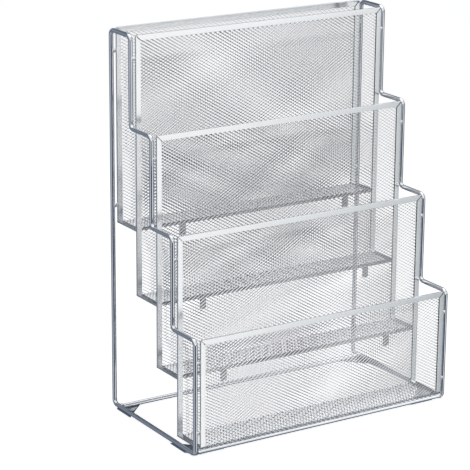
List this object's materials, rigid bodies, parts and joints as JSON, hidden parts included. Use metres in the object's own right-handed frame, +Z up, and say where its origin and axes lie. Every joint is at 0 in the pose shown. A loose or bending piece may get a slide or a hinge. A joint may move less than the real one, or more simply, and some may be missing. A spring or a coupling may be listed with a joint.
{
  "type": "file organizer",
  "caption": "Stepped desktop file organizer with expanded-metal mesh pockets that rise from front to back between two bent-wire side frames, open at the ends, for papers and folders.",
  "frame": {"origin": "on the table under the middle of the rack's bounding box", "axes": "+X to the right along the pockets, +Y to the back, +Z up; the low front pocket faces -Y"},
  "size_m": [0.33, 0.18, 0.43],
  "materials": {
    "frame_wire": "gloss silver",
    "edge_strip": "satin silver",
    "mesh_sheet": "satin silver",
    "gusset_plate": "gloss silver",
    "weld_bead": "gloss silver"
  },
  "bodies": {
    "root": {"left_side_frame": "frame_wire", "right_side_frame": "frame_wire", "front_base_rail": "frame_wire", "rear_base_rail": "frame_wire", "front_left_gusset": "gusset_plate", "front_right_gusset": "gusset_plate", "rear_left_gusset": "gusset_plate", "rear_right_gusset": "gusset_plate", "rear_wall_mesh": "mesh_sheet", "rear_wall_top_strip": "edge_strip", "rear_wall_left_strip": "edge_strip", "rear_wall_right_strip": "edge_strip", "second_wall_mesh": "mesh_sheet", "second_wall_top_strip": "edge_strip", "second_wall_left_strip": "edge_strip", "second_wall_right_strip": "edge_strip", "third_wall_mesh": "mesh_sheet", "third_wall_top_strip": "edge_strip", "third_wall_left_strip": "edge_strip", "third_wall_right_strip": "edge_strip", "fourth_wall_mesh": "mesh_sheet", "fourth_wall_top_strip": "edge_strip", "fourth_wall_left_strip": "edge_strip", "fourth_wall_right_strip": "edge_strip", "front_wall_mesh": "mesh_sheet", "front_wall_top_strip": "edge_strip", "front_wall_left_strip": "edge_strip", "front_wall_right_strip": "edge_strip", "pocket_1_floor_mesh": "mesh_sheet", "pocket_1_floor_left_strip": "edge_strip", "pocket_1_floor_right_strip": "edge_strip", "pocket_2_floor_mesh": "mesh_sheet", "pocket_2_floor_left_strip": "edge_strip", "pocket_2_floor_right_strip": "edge_strip", "pocket_3_floor_mesh": "mesh_sheet", "pocket_3_floor_left_strip": "edge_strip", "pocket_3_floor_right_strip": "edge_strip", "pocket_4_floor_mesh": "mesh_sheet", "pocket_4_floor_left_strip": "edge_strip", "pocket_4_floor_right_strip": "edge_strip", "pocket_1_floor_front_strip": "edge_strip", "pocket_2_floor_front_strip": "edge_strip", "pocket_3_floor_front_strip": "edge_strip", "left_weld_beads": "weld_bead", "right_weld_beads": "weld_bead"}
  },
  "joints": []
}
